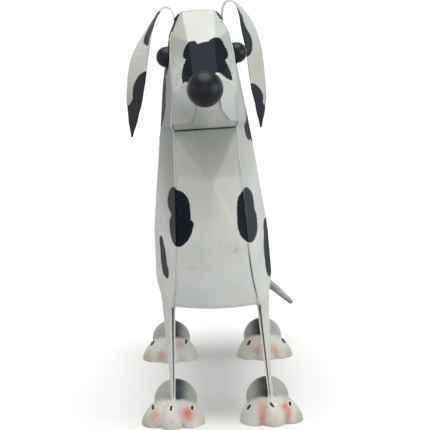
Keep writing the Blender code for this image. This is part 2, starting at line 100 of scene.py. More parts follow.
def addObject(name, data):
    item = bpy.data.objects.new(name, data)
    bpy.context.scene.collection.objects.link(item)
    return item


def makeCamera():
    data = bpy.data.cameras.new("photoCamera")
    data.sensor_width = photoCamera["sensor"]
    data.lens = photoCamera["focalPixels"] * photoCamera["sensor"] / photoCamera["side"]
    data.clip_start, data.clip_end = 0.1, 100
    camera = addObject("photoCamera", data)
    turn = Matrix((cameraRight, cameraUp, -cameraAhead)).transposed()
    camera.matrix_world = Matrix.Translation(cameraPlace) @ turn.to_4x4()
    bpy.context.scene.camera = camera


makeCamera()
print("camera placed")


def linearColour(code):
    channels = [int(code[start:start + 2], 16) / 255 for start in (1, 3, 5)]
    return tuple(c / 12.92 if c <= 0.04045 else ((c + 0.055) / 1.055) ** 2.4 for c in channels)


def addNode(tree, kind, links=None, **settings):
    # links gives an input by name or number: another node, one of its outputs, or the value itself
    node = tree.nodes.new(kind)
    for name, value in settings.items():
        setattr(node, name, value)
    for name, value in (links or {}).items():
        if isinstance(value, bpy.types.Node):
            value = next(socket for socket in value.outputs if socket.enabled)
        if isinstance(value, bpy.types.NodeSocket):
            tree.links.new(value, node.inputs[name])
        else:
            node.inputs[name].default_value = value
    return node


def inkColour(code):
    return (*linearColour(code), 1)


def newMaterial(name):
    material = bpy.data.materials.new(name)
    material.use_nodes = True
    tree = material.node_tree
    tree.nodes.clear()
    return material, tree, addNode(tree, "ShaderNodeTexCoord").outputs["Object"]


def paintSurface(tree, colour, roughness, height, relief=0.7, gloss=0.5):
    # the grain stands a twentieth of a mm high, and gloss 0.5 is a clean film's full mirror
    bump = addNode(tree, "ShaderNodeBump", {"Height": height, "Distance": 0.05 * mm, "Strength": relief})
    shader = addNode(tree, "ShaderNodeBsdfPrincipled",
                     {"Base Color": colour, "Roughness": roughness, "Normal": bump, "IOR": 1.5,
                      "Specular IOR Level": gloss})
    addNode(tree, "ShaderNodeOutputMaterial", {"Surface": shader})


# Sprayed alkyd enamel on steel sheet: white coats with a faint orange peel, brushed black
# spots, dust and rubbed paint along the seams
enamelFinish = {
    "white": "#DEE1DD",
    "whiteWarm": "#D8D5CA",
    "whiteCool": "#D3DCDA",
    "seamGrime": "#6E6C62",
    "shade": "#8C918B",      # painted shade under the chin, on the temples, the lower cheeks and the ears
    "black": "#08101D",
    "blackWorn": "#121C2B",
    "peel": 1.1,             # mm, orange peel
    "cloud": 70,             # mm, patches of thicker paint
    "tint": 38,              # mm, cooler patches
    "speck": 3.4,            # mm, dust
    "spotWobble": 2.2,       # mm, brush marks round a spot
}


def sheetEnamelMaterial():
    material, tree, place = newMaterial("sprayed enamel with brushed spots and painted shade")
    grains = {}
    for name, detail, rough in (("cloud", 3.0, 0.55), ("tint", 2.0, 0.5), ("speck", 4.0, 0.65),
                                ("peel", 1.0, 0.5), ("spotWobble", 2.0, 0.5)):
        grains[name] = addNode(tree, "ShaderNodeTexNoise",
                               {"Vector": place, "Scale": 1 / (enamelFinish[name] * mm), "Detail": detail,
                                "Roughness": rough})
    warm = addNode(tree, "ShaderNodeMapRange", {"Value": grains["cloud"], "From Min": 0.38, "From Max": 0.66})
    cool = addNode(tree, "ShaderNodeMapRange",
                   {"Value": grains["tint"], "From Min": 0.45, "From Max": 0.75, "To Max": 0.8})
    # painted shade: grey laid where shade falls on the sheet
    shade = addNode(tree, "ShaderNodeAttribute", attribute_name="shade").outputs["Fac"]
    # dust lies in the seams and thins out within a few mm
    rim = addNode(tree, "ShaderNodeAttribute", attribute_name="rim").outputs["Fac"]
    nearRim = addNode(tree, "ShaderNodeMapRange",
                      {"Value": rim, "From Min": 3.5, "From Max": 0.0,
                       "To Max": 0.35}, interpolation_type="SMOOTHSTEP")
    patchy = addNode(tree, "ShaderNodeMapRange",
                     {"Value": grains["speck"], "From Min": 0.36, "From Max": 0.72})
    grime = addNode(tree, "ShaderNodeMath", {0: nearRim, 1: patchy}, operation="MULTIPLY")
    # specks of dust caught in the paint
    speck = addNode(tree, "ShaderNodeMapRange",
                    {"Value": grains["speck"], "From Min": 0.72, "From Max": 0.80, "To Max": 0.35})
    coats = inkColour(enamelFinish["white"])
    for share, tone in ((warm, "whiteWarm"), (cool, "whiteCool"), (shade, "shade"), (grime, "seamGrime"),
                        (speck, "seamGrime")):
        coats = addNode(tree, "ShaderNodeMix",
                        {"Factor": share, "A": coats, "B": inkColour(enamelFinish[tone])}, data_type="RGBA")
    ink = addNode(tree, "ShaderNodeMix",
                  {"Factor": warm, "A": inkColour(enamelFinish["black"]),
                   "B": inkColour(enamelFinish["blackWorn"])}, data_type="RGBA")
    spot = addNode(tree, "ShaderNodeAttribute", attribute_name="spot").outputs["Fac"]
    shift = addNode(tree, "ShaderNodeMapRange",
                    {"Value": grains["spotWobble"], "To Min": -0.9, "To Max": 0.9}, clamp=False)
    edge = addNode(tree, "ShaderNodeMath", {0: spot, 1: shift}, operation="ADD")
    inked = addNode(tree, "ShaderNodeMapRange",
                    {"Value": edge, "From Min": 0.45, "From Max": -0.45}, interpolation_type="SMOOTHSTEP")
    colour = addNode(tree, "ShaderNodeMix", {"Factor": inked, "A": coats, "B": ink}, data_type="RGBA")
    rough = addNode(tree, "ShaderNodeMapRange", {"Value": grains["cloud"], "To Min": 0.36, "To Max": 0.56})
    rougher = addNode(tree, "ShaderNodeMath", {0: grime, 1: 0.2, 2: rough}, operation="MULTIPLY_ADD")
    height = addNode(tree, "ShaderNodeMath", {0: inked, 1: 1.6, 2: grains["peel"]}, operation="MULTIPLY_ADD")
    paintSurface(tree, colour, rougher, height, gloss=0.14)
    return material


sheetEnamel = sheetEnamelMaterial()
print("sheet enamel mixed")


# Brushed black spots. Those the photograph shows are outlines in its pixels, where a third
# number marks a sharp corner, on the named pieces. The others are lobes, seen from one side.
photoSpots = [
    {"on": ("head_shell", "welds"),
     "outline": [(192.9, 40.7), (188.7, 42.3), (184.4, 48.1), (182.8, 55.5), (183.9, 58.6),
                 (186, 59.2, 1), (184.4, 62.9), (182.5, 69.2), (181.8, 76.6), (182.7, 83.8, 1),
                 (187, 82), (197, 90), (205, 85), (213, 76), (216.1, 72.9), (220.4, 73.4),
                 (225.7, 77.7), (232.8, 81.2, 1), (230.9, 72.4), (227.2, 63.9), (225.1, 59.7, 1),
                 (227.8, 57.6), (227.8, 52.3), (224.1, 44.9), (220.9, 39.1), (216.1, 37.2),
                 (210.9, 39.1), (208.7, 41.2, 1), (203.5, 42.3), (197.3, 43.8, 1), (195.5, 41)]},
    {"on": ("chest_panel", "side_panel_right", "welds"),
     "outline": [(173.3, 186.7), (169.4, 190.5), (167.5, 198.3), (168, 206), (170.9, 213.5),
                 (171.2, 215.7, 1), (169.5, 220.5), (169.7, 230.5), (173, 242.8), (178.7, 247.3),
                 (185.6, 243.3), (191.3, 234.8), (192.7, 229), (194, 224.5), (193.3, 222),
                 (190.7, 219.8, 1), (190.5, 211.8), (189.7, 203.1), (186.8, 196.3), (182, 191.5),
                 (177.6, 190.1)]},
    {"on": ("chest_panel", "side_panel_left", "welds"),
     "outline": [(246.3, 187), (242.4, 190.5), (237.6, 199.2), (237.1, 207.9), (237, 217),
                 (237.9, 226.8), (241.4, 237.1), (249.3, 242.6), (254.5, 239.4), (257.3, 229.5),
                 (256.8, 216.7), (254.5, 207.9), (253.1, 196.3), (250.6, 190.1)]},
    {"on": ("ear_right",),
     "outline": [(157, 12), (153.8, 17.4), (146.4, 32.2), (143.7, 39.6), (144.3, 43.8), (146.9, 45.7),
                 (148.7, 43.8), (150.1, 36.4), (153.5, 28), (160, 17.4), (161, 12)]},
    {"on": ("ear_right",),
     "outline": [(146.7, 72.4), (142.7, 72.4), (137.9, 76.6), (133.7, 85.1), (132.6, 92.5),
                 (132.6, 98.8), (129.5, 104.1), (125, 110.4), (124, 138, 1), (140, 138, 1), (142, 118),
                 (147, 102), (149.5, 85.1)]},
    {"on": ("ear_left",),
     "outline": [(229, 2), (236.2, 6.8), (241.5, 14.2), (244.2, 22.7), (246.8, 29), (250.5, 35.4),
                 (252.3, 42.8), (252.1, 50.2), (249.4, 55.5), (244, 56), (240.1, 41.7), (239, 34.3),
                 (236.5, 21.6), (232, 12.1)]},
    {"on": ("ear_left",),
     "outline": [(247, 84), (251.5, 83.5), (255.2, 84), (260.5, 89.3), (263.2, 95.6), (263.2, 102),
                 (264.6, 106), (268, 110, 1), (266, 132, 1), (256, 132, 1), (253, 117.8), (249, 102)]},
]

# mm: across and up, or across and back for those seen from the top, and the lobe's half size
lobeSpots = {
    "left": [
        [(-84, 200, 16), (-88, 180, 19), (-96, 163, 13)],
        [(-62, 262, 17), (-47, 270, 15), (-55, 248, 13)], [(-20, 205, 14), (-2, 196, 18), (6, 212, 12)],
        [(18, 292, 17), (35, 286, 14), (26, 302, 12)], [(60, 234, 19), (76, 224, 16), (57, 216, 13)],
        [(98, 178, 14), (113, 171, 17)], [(132, 246, 18), (148, 234, 16), (136, 260, 12)],
        [(168, 188, 14), (177, 202, 12)], [(30, 158, 12), (43, 155, 10)],
        [(-108, 322, 13), (-98, 334, 15), (-92, 316, 11)],
        [(-124, 412, 13), (-120, 402, 14), (-130, 405, 11)],
        [(-110, 446, 9), (-116, 436, 9), (-104, 440, 10)]],
    "right": [
        [(-109, 194, 9), (-117, 181, 14), (-133, 167, 8), (-122, 172, 12)],
        [(-106, 374, 17), (-107, 352, 18), (-99, 340, 14)],
        [(-64, 252, 18), (-50, 238, 14), (-58, 266, 11)], [(-22, 296, 15), (-8, 302, 12)],
        [(8, 224, 16), (22, 213, 18), (13, 201, 11)], [(-42, 174, 13), (-53, 165, 10)],
        [(62, 282, 14), (76, 274, 17)], [(86, 216, 17), (97, 202, 14), (81, 201, 12)],
        [(58, 166, 12), (70, 160, 10)], [(128, 262, 13), (139, 251, 15)],
        [(131, 184, 16), (145, 177, 13)], [(176, 222, 13), (182, 208, 12)],
        [(-124, 410, 14), (-120, 398, 13), (-131, 402, 10)],
        [(-113, 444, 9), (-121, 434, 8), (-108, 436, 11)]],
    "top": [
        [(-24, -84, 16), (-18, -72, 14)], [(6, -34, 17), (-6, -22, 14)],
        [(-20, 44, 15), (-10, 58, 17), (-22, 66, 11)], [(14, 104, 15), (2, 116, 13)],
        [(-26, 150, 13), (-20, 162, 12)]],
    "rear": [[(-22, 226, 15), (-32, 212, 13)], [(14, 186, 14), (6, 172, 12)]],
}
# mm: lobes on the side of each ear that the photograph doesn't show
earLobes = {
    "ear_right": [(-92, -84, 396, 13), (-97, -84, 382, 11), (-70, -84, 444, 11), (-90, -84, 336, 12)],
    "ear_left": [(44, -82, 420, 12), (52, -82, 408, 13), (50, -84, 352, 13), (56, -84, 340, 10)],
}
bodyPanels = ("head_shell", "chin_plate", "chest_panel", "side_panel_right", "side_panel_left",
              "back_panel", "belly_panel")


def solidTree(nodes):
    points, faces = [], []
    for node in nodes:
        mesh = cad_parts[node].data
        start = len(points)
        points += [vertex.co.copy() for vertex in mesh.vertices]
        faces += [[start + corner for corner in face.vertices] for face in mesh.polygons]
    return BVHTree.FromPolygons(points, faces)


def spotLobes():
    # each lobe's centre is put on the body where a straight look from that side meets it
    body = solidTree(bodyPanels)
    looks = {"left": lambda a, b: ((1, a, b), (-1, 0, 0)), "right": lambda a, b: ((-1, a, b), (1, 0, 0)),
             "top": lambda a, b: ((a, b, 1), (0, 0, -1)), "rear": lambda a, b: ((a, 1, b), (0, -1, 0))}
    groups = []
    for seen, spots in lobeSpots.items():
        for spot in spots:
            rays = [(looks[seen](a * mm, b * mm), size) for a, b, size in spot]
            met = [(body.ray_cast(Vector(start), Vector(ray))[0], size) for (start, ray), size in rays]
            groups.append([(np.array(place), size) for place, size in met if place is not None])
    return groups


lobeGroups = spotLobes()


def lobeDistance(places, lobes, blend=2.0):
    # mm to the edge of a few lobes that run into each other
    total = np.zeros(len(places))
    for middle, size in lobes:
        reach = np.linalg.norm(places - middle, axis=1) / mm - size
        total += np.exp(-np.clip(reach, -40, 40) / blend)
    return -blend * np.log(np.maximum(total, 1e-9))


def curveBetween(p0, p1, p2, p3, steps):
    # a smooth run from p1 to p2, with p0 before them and p3 after
    return [(p1 * 2 + (p2 - p0) * t + (p0 * 2 - p1 * 5 + p2 * 4 - p3) * t ** 2
             + (p1 * 3 - p0 - p2 * 3 + p3) * t ** 3) * 0.5 for t in np.arange(steps) / steps]


def smoothOutline(outline, steps=5):
    corners = [number for number, point in enumerate(outline) if len(point) > 2]
    count = len(outline)
    plain = np.array([point[:2] for point in outline], float)
    curve = []
    for number in range(count):
        following = (number + 1) % count
        p1, p2 = plain[number], plain[following]
        p0 = p1 * 2 - p2 if number in corners else plain[number - 1]
        p3 = p2 * 2 - p1 if following in corners else plain[(number + 2) % count]
        curve += curveBetween(p0, p1, p2, p3, steps)
    return np.array(curve)


def outlineDistance(places, curve):
    # below zero inside the outline
    nearest, inside = np.full(len(places), 1e9), np.zeros(len(places), bool)
    for a, b in zip(curve, np.roll(curve, -1, axis=0)):
        along = b - a
        t = np.clip(((places - a) @ along) / max(along @ along, 1e-12), 0, 1)
        nearest = np.minimum(nearest, np.linalg.norm(places - a - t[:, None] * along, axis=1))
        if a[1] != b[1]:
            crosses = (a[1] > places[:, 1]) != (b[1] > places[:, 1])
            inside ^= crosses & (places[:, 0] < a[0] + (places[:, 1] - a[1]) * along[0] / along[1])
    return np.where(inside, -nearest, nearest)


def spotDistance(node, places, normals):
    # mm from each place to the nearest painted outline, below zero on the black
    far = 12.0
    distance = np.full(len(places), far)
    towardsCamera = facesCamera(places, normals)
    if node in bodyPanels and node != "head_shell" or node == "welds":
        for lobes in lobeGroups:
            distance = np.minimum(distance, lobeDistance(places, lobes))
    if node in earLobes:
        lobes = [(np.array(lobe[:3]) * mm, lobe[3]) for lobe in earLobes[node]]
        away = towardsCamera < -0.1
        distance = np.where(away, np.minimum(distance, lobeDistance(places, lobes)), distance)
    pixels, scale = toPixels(places)
    front = towardsCamera > (-0.4 if node == "head_shell" else 0.04)
    for spot in photoSpots:
        if node not in spot["on"]:
            continue
        curve = smoothOutline(spot["outline"])
        low, high = curve.min(axis=0) - far, curve.max(axis=0) + far
        near = front & np.all((pixels > low) & (pixels < high), axis=1)
        if near.any():
            painted = outlineDistance(pixels[near], curve) * scale[near]
            distance[near] = np.minimum(distance[near], painted)
    return distance


def smoothShare(value, low, high):
    t = np.clip((value - low) / (high - low), 0, 1)
    return t * t * (3 - 2 * t)


# Painted shade: grey put where shade falls under the chin, on the temples, the lower cheeks and the ears:
# amounts, and places in metres
paintedShadeAreas = {
    "chin": (-0.010, -0.160, 0.334),
    "underChin": {"chest_panel": (0.66, 125), "side_panel_right": (1.0, 155), "side_panel_left": (0.5, 120)},
    "templesFrom": 0.385,
    "temples": 0.6,
    "cheeksBelow": 0.375,
    "cheeks": 0.18,
    "rightCheek": 0.3,
    "earLeft": 0.26,
    "earRight": (0.1, 0.5, 0.40),      # all over, more at the tip, and where that starts
}


# how much painted shade each place on a piece gets
def paintedShadeShare(node, places, normals):
    share = np.zeros(len(places))
    height, rise = places[:, 2], normals[:, 2]
    if node in paintedShadeAreas["underChin"]:
        flat = np.array([0.8, 1, 1])     # the cloud is wider than tall
        reach = np.linalg.norm((places - np.array(paintedShadeAreas["chin"])) / mm * flat, axis=1)
        upward = smoothShare(rise, 0.1, 0.4) if node == "chest_panel" else 0.8
        amount, fade = paintedShadeAreas["underChin"][node]
        share = (1 - smoothShare(reach, 30, fade)) * (0.25 + 0.75 * upward) * amount
    if node in ("head_shell", "side_panel_right", "side_panel_left"):
        low = paintedShadeAreas["templesFrom"]
        aside = smoothShare(np.abs(normals[:, 0]), 0.25, 0.6) * smoothShare(height, low, low + 0.03)
        share = np.maximum(share, aside * smoothShare(rise, 0.05, 0.3) * paintedShadeAreas["temples"])
    if node in ("head_shell", "chin_plate"):
        ownRight = 1 - smoothShare(places[:, 0], -0.020, -0.004)
        top = paintedShadeAreas["cheeksBelow"]
        low = 1 - smoothShare(height, top - 0.03, top)
        share = np.maximum(share, low * (paintedShadeAreas["cheeks"] + paintedShadeAreas["rightCheek"] * ownRight))
    if node == "ear_right":
        base, tip, top = paintedShadeAreas["earRight"]
        share = base + tip * (1 - smoothShare(height, 0.335, top))
    if node == "ear_left":
        share = np.full(len(places), paintedShadeAreas["earLeft"])
    return share


def steady(values, edges):
    # a sliver's stray normal leaves no speck in a spot
    for _ in range(2):
        total = np.zeros(len(values))
        np.add.at(total, edges[:, 0], values[edges[:, 1]])
        np.add.at(total, edges[:, 1], values[edges[:, 0]])
        mean = total / np.maximum(np.bincount(edges.ravel(), minlength=len(values)), 1)
        values = np.where(values - mean > 1.5, mean, values)
    return values


def mergedCopy(node):
    mesh = bmesh.new()
    mesh.from_mesh(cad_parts[node].data)
    bmesh.ops.remove_doubles(mesh, verts=mesh.verts, dist=0.01 * mm)
    mesh.normal_update()
    return mesh


def densify(mesh, cell):
    for _ in range(10):
        flat = [edge for edge in mesh.edges
                if len(edge.link_faces) == 2 and edge.calc_face_angle(1) < 0.01]
        bmesh.ops.beautify_fill(mesh, faces=mesh.faces, edges=flat, method="AREA")
        long = [edge for edge in mesh.edges if edge.calc_length() > cell]
        if not long:
            break
        bmesh.ops.subdivide_edges(mesh, edges=long, cuts=1)
        bmesh.ops.triangulate(mesh, faces=mesh.faces)
    mesh.normal_update()


def meshArrays(mesh, creaseAngle):
    # places, edges, the edges that stay crisp, and the crisp line's own corners
    mesh.verts.index_update()
    places = np.array([vertex.co for vertex in mesh.verts])
    edges = np.array([[vertex.index for vertex in edge.verts] for edge in mesh.edges])
    crisp = [edge for edge in mesh.edges
             if len(edge.link_faces) != 2 or edge.calc_face_angle(0) > creaseAngle]
    crispEdges = np.array([[vertex.index for vertex in edge.verts] for edge in crisp]).reshape(-1, 2)
    ways = {}
    for edge in crisp:
        for vertex in edge.verts:
            ways.setdefault(vertex.index, []).append((edge.other_vert(vertex).co - vertex.co).normalized())
    corners = np.zeros(len(places), bool)
    for index, directions in ways.items():
        straight = len(directions) == 2 and directions[0].dot(directions[1]) < -cos(radians(38))
        corners[index] = not straight
    return places, edges, crispEdges, corners


def relax(places, edges, crispEdges, corners, rounds, share=0.5):
    count = len(places)
    onCrisp = np.zeros(count, bool)
    onCrisp[crispEdges.ravel()] = True
    ties = np.maximum(np.bincount(edges.ravel(), minlength=count), 1)[:, None]
    crispTies = np.maximum(np.bincount(crispEdges.ravel(), minlength=count), 1)[:, None]
    share = np.broadcast_to(np.asarray(share, float).reshape(-1, 1), (count, 1))
    for _ in range(rounds):
        total, crispTotal = np.zeros_like(places), np.zeros_like(places)
        for sums, pairs in ((total, edges), (crispTotal, crispEdges)):
            np.add.at(sums, pairs[:, 0], places[pairs[:, 1]])
            np.add.at(sums, pairs[:, 1], places[pairs[:, 0]])
        target = np.where(onCrisp[:, None], crispTotal / crispTies, total / ties)
        places = np.where(corners[:, None], places, places + share * (target - places))
    return places


def takePlaces(mesh, places):
    for vertex, place in zip(mesh.verts, places):
        vertex.co = place
    mesh.normal_update()


def toObject(mesh, name, material):
    data = bpy.data.meshes.new(name)
    mesh.to_mesh(data)
    mesh.free()
    data.materials.append(material)
    data.polygons.foreach_set("use_smooth", [True] * len(data.polygons))
    return addObject(name, data)


def surfaceOf(item):
    return (np.array([vertex.co for vertex in item.data.vertices]),
            np.array([vertex.vector for vertex in item.data.vertex_normals]))


def pieceName(node):
    return node.replace("_", " ").title().replace(" ", "")


def nearestOf(places, indices):
    tree = KDTree(len(indices))
    for index in indices:
        tree.insert(places[index], index)
    tree.balance()
    return tree


def giveAttribute(item, name, values):
    layer = item.data.attributes.new(name, "FLOAT", "POINT")
    layer.data.foreach_set("value", np.asarray(values, np.float32))


def install(item, slot, *nodes):
    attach(item, "root")
    if nodes:
        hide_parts(*nodes)


def paintSheet(item, node, surface, rimDistance):
    # what the sheet enamel reads: dust by the rims, black spots and painted shade
    places, normals, edges = surface
    giveAttribute(item, "rim", rimDistance)
    giveAttribute(item, "spot", steady(spotDistance(node, places, normals), edges))
    giveAttribute(item, "shade", paintedShadeShare(node, places, normals))


# Folded and welded steel sheet
sheetMetal = {
    "thickness": 1.2 * mm,
    "bodyCell": 2.7 * mm,
    "headCell": 1.6 * mm,
    "foldRounds": 5,          # how far a fold is rounded
    "apronRounds": 14,        # the apron is rolled, not folded
    "apronTop": 0.205,
    "apronFade": 12 * mm,
    "waveLength": 45 * mm,    # hand-worked sheet is never quite flat
    "waveHeight": 0.28 * mm,
    "stiffRim": 14,           # mm from a seam where the sheet waves fully
    # where the open seam lies, in metres, how far it gapes and how that fades
    "openSeam": {"bottom": 0.140, "top": 0.212, "beyond": 0.02, "before": -0.13,
                 "width": 1.6 * mm, "fade": 7 * mm},
}
insideHead = Vector((-0.0125, -0.145, 0.40))
insideTrunk = Vector((0, 0, 0.25))


def outerSkin(mesh, inside):
    # the sheet's cut edges go, and of its two skins the outer one stays
    thickness = sheetMetal["thickness"]
    tree = BVHTree.FromBMesh(mesh)
    cutEdges = []
    for face in mesh.faces:
        height = 2 * face.calc_area() / max(edge.calc_length() for edge in face.edges)
        middle = face.calc_center_median()
        normal = tree.ray_cast(middle - face.normal * 0.1 * mm, -face.normal, 1.4 * thickness)[1]
        if height < 2.2 * thickness and (normal is None or normal.dot(face.normal) > -0.98):
            cutEdges.append(face)
    bmesh.ops.delete(mesh, geom=cutEdges, context="FACES")
    left, skins = set(mesh.faces), []
    while left:
        skin, queue = set(), [left.pop()]
        while queue:
            face = queue.pop()
            skin.add(face)
            for edge in face.edges:
                for other in edge.link_faces:
                    if other in left:
                        left.discard(other)
                        queue.append(other)
        flux = sum(face.calc_area() * face.normal.dot(face.calc_center_median() - inside) for face in skin)
        skins.append((flux, skin))
    best = max(skins, key=lambda skin: skin[0])[1]
    bmesh.ops.delete(mesh, geom=[face for face in mesh.faces if face not in best], context="FACES")
    return mesh


def openSeam(places, rim):
    # low down, the chest's seam on the dog's left was never closed
    seam = sheetMetal["openSeam"]
    edge = nearestOf(places, [index for index in rim if places[index][0] > seam["beyond"]])
    near = np.array([max(0, 1 - edge.find(place)[2] / seam["fade"]) for place in places])
    share = np.clip((places[:, 2] - seam["bottom"]) / (seam["top"] - seam["bottom"]), 0, 1)
    moved = places.copy()
    moved[:, 0] -= np.sin(pi * share) * seam["width"] * near
    return moved


def makePanel(node, cell, inside):
    mesh = outerSkin(mergedCopy(node), inside)
    densify(mesh, cell)
    places, edges, rim, corners = meshArrays(mesh, pi)
    places = relax(places, edges, rim, corners, sheetMetal["foldRounds"])
    if node == "chest_panel":
        below = (sheetMetal["apronTop"] - places[:, 2]) / sheetMetal["apronFade"]
        rolled = np.clip(below, 0, 1) * 0.5
        places = relax(places, edges, rim, corners, sheetMetal["apronRounds"], rolled)
        places = openSeam(places, np.unique(rim))
    takePlaces(mesh, places)
    tree = nearestOf(places, np.unique(rim))
    rimDistance = np.array([tree.find(place)[2] for place in places]) / mm
    length, height = sheetMetal["waveLength"], sheetMetal["waveHeight"]
    normals = np.array([vertex.normal for vertex in mesh.verts])
    wave = np.array([noise.noise(Vector(place) / length) for place in places])
    wave = wave * height * np.clip(rimDistance / sheetMetal["stiffRim"], 0, 1)
    takePlaces(mesh, places + normals * wave[:, None])
    rimRuns.append((node, places, rim))
    item = toObject(mesh, pieceName(node) + "Sheet", sheetEnamel)
    paintSheet(item, node, (places, normals, edges), rimDistance)
    wall = item.modifiers.new("sheet", "SOLIDIFY")
    wall.thickness, wall.offset = sheetMetal["thickness"], -1
    install(item, "white_enamel", node)
    print(" ", item.name, len(item.data.polygons), "faces")


rimRuns = []
for node in bodyPanels:
    onHead = node in ("head_shell", "chin_plate")
    makePanel(node, sheetMetal["headCell" if onHead else "bodyCell"], insideHead if onHead else insideTrunk)
print("body panels bent and painted")


# Ears and legs: how finely they are cut up, rounds of easing, which folds stay, rounded cut edges
solidDress = {
    "ear": {"cell": 2.0 * mm, "rounds": 8, "crease": radians(50), "bevel": 0.3 * mm},
    "leg": {"cell": 3.0 * mm, "rounds": 2, "crease": radians(25), "bevel": 0.25 * mm},
    "farFromRim": 9.0,       # mm, beyond the reach of dust
}


def dressSolid(node, dress):
    # a copy of the solid with its folds eased and its cut edges rounded
    mesh = mergedCopy(node)
    densify(mesh, dress["cell"])
    places, edges, crisp, corners = meshArrays(mesh, dress["crease"])
    takePlaces(mesh, relax(places, edges, crisp, corners, dress["rounds"]))
    item = toObject(mesh, pieceName(node) + "Piece", sheetEnamel)
    rimDistance = np.full(len(places), solidDress["farFromRim"])
    paintSheet(item, node, (*surfaceOf(item), edges), rimDistance)
    edge = item.modifiers.new("cut edges", "BEVEL")
    edge.width, edge.segments, edge.limit_method = dress["bevel"], 2, "ANGLE"
    edge.angle_limit = radians(40)
    install(item, "white_enamel", node)
    print(" ", item.name, len(item.data.polygons), "faces")


for side in ("right", "left"):
    dressSolid("ear_" + side, solidDress["ear"])
for end in ("front", "rear"):
    for side in ("right", "left"):
        dressSolid(end + "_leg_" + side, solidDress["leg"])
print("ears and legs in place")


# Gloss black enamel over welded steel balls
ballFinish = {
    "black": "#05080D",
    "sheen": "#111822",
    "cloud": 9 * mm,
    "peel": 1.3 * mm,
    "unevenness": 0.18 * mm,
    "lump": 11 * mm,
}


def ballEnamelMaterial():
    material, tree, place = newMaterial("gloss black enamel on steel balls")
    cloud = addNode(tree, "ShaderNodeTexNoise",
                    {"Vector": place, "Scale": 1 / ballFinish["cloud"], "Detail": 3.0})
    peel = addNode(tree, "ShaderNodeTexNoise",
                   {"Vector": place, "Scale": 1 / ballFinish["peel"], "Detail": 1.0})
    share = addNode(tree, "ShaderNodeMapRange", {"Value": cloud, "From Min": 0.4, "From Max": 0.7})
    colour = addNode(tree, "ShaderNodeMix",
                     {"Factor": share, "A": inkColour(ballFinish["black"]),
                      "B": inkColour(ballFinish["sheen"])}, data_type="RGBA")
    rough = addNode(tree, "ShaderNodeMapRange", {"Value": cloud, "To Min": 0.25, "To Max": 0.42})
    paintSurface(tree, colour, rough, peel, relief=0.6, gloss=0.38)
    return material


ballEnamel = ballEnamelMaterial()


def makeBall(node, name, centre, size):
    mesh = bmesh.new()
    bmesh.ops.create_uvsphere(mesh, u_segments=72, v_segments=36, radius=size / 2)
    for vertex in mesh.verts:
        away = vertex.co.normalized()
        lump = noise.noise((centre + vertex.co) / ballFinish["lump"]) * ballFinish["unevenness"]
        vertex.co = centre + away * (size / 2 - ballFinish["unevenness"] + lump)
    item = toObject(mesh, name, ballEnamel)
    install(item, "black_enamel", node)


noseLow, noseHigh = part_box("nose_ball")
noseSize = noseHigh.z - noseLow.z
noseCentre = Vector(((noseLow.x + noseHigh.x) / 2, noseLow.y + noseSize / 2, (noseLow.z + noseHigh.z) / 2))
makeBall("nose_ball", "NoseBall", noseCentre, noseSize)
for side, sign in (("right", -1), ("left", 1)):
    low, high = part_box("eye_" + side)
    size = high.z - low.z
    outer = low.x if sign < 0 else high.x
    makeBall("eye_" + side, "Eye" + side.title() + "Ball",
             Vector((outer - sign * size / 2, (low.y + high.y) / 2, (low.z + high.z) / 2)), size)
print("nose and eyes in place")


# A paw is three toes, a palm and a heel that run into each other, from pressed steel
pawForm = {
    "width": 71 * mm,
    "length": 81 * mm,
    "toeHeight": 27 * mm,
    "heelHeight": 42 * mm,
    "heelWidth": 48.5 * mm,
    "toeOut": {"front": radians(6), "rear": radians(2)},
    "softness": 0.035,
    "turns": 210,
    "rings": 70,
}


def pawLobes():
    # centre, half sizes, turn, lean of the top, and the lowest share at which the sides draw in
    width, length = pawForm["width"], pawForm["length"]
    low = 0.3 * pawForm["toeHeight"]
    tall = pawForm["toeHeight"] - low
    heel = pawForm["heelWidth"] / 2
    toe = (0.19 * width, 0.25 * length, 0.97 * tall)
    return [
        ((0, 0.28 * length, low), (0.205 * width, 0.25 * length, tall), 0, (0, 0.08 * length), -1),
        ((-0.262 * width, 0.36 * length, low), toe, 20, (0.13 * width, 0.08 * length), -1),
        ((0.262 * width, 0.36 * length, low), toe, -20, (-0.13 * width, 0.08 * length), -1),
        ((0, 0.52 * length, low), (0.30 * width, 0.27 * length, 0.94 * tall), 0, (0, 0), -1),
        ((0, 0.74 * length, pawForm["heelHeight"] - heel), (heel, 0.26 * length, heel), 0, (0, 0), -0.2),
    ]


def pawInside(x, y, z):
    softness = pawForm["softness"]
    nearest = []
    for (cx, cy, cz), (ax, ay, az), turn, (leanX, leanY), lowest in pawLobes():
        c, s = cos(radians(turn)), sin(radians(turn))
        rise = (z - cz) / az
        dx, dy = x - cx - leanX * rise, y - cy - leanY * rise
        u, v = (c * dx + s * dy) / ax, (c * dy - s * dx) / ay
        nearest.append(np.sqrt(u * u + v * v + np.maximum(rise, lowest) ** 2) - 1)
    nearest = np.array(nearest)
    least = nearest.min(axis=0)
    return least - softness * np.log(np.exp(-(nearest - least) / softness).sum(axis=0))


def pawPlaces(turn):
    middle, turns, rings = 0.47 * pawForm["length"], pawForm["turns"], pawForm["rings"]
    a, e = np.meshgrid(np.arange(turns) * 2 * pi / turns, np.arange(rings) * (pi / 2) / rings)
    a, e = np.append(a.ravel(), 0), np.append(e.ravel(), pi / 2)
    dx, dy, dz = np.cos(e) * np.cos(a), np.cos(e) * np.sin(a), np.sin(e)
    near, far = np.full(len(a), 0.1 * pawForm["width"]), np.full(len(a), pawForm["length"])
    for _ in range(34):
        reach = (near + far) / 2
        inside = pawInside(dx * reach, middle + dy * reach, dz * reach) < 0
        near, far = np.where(inside, reach, near), np.where(inside, far, reach)
    x, y, z = dx * near, dy * near, dz * near
    return np.stack([cos(turn) * x - sin(turn) * y, sin(turn) * x + cos(turn) * y, z], axis=1)


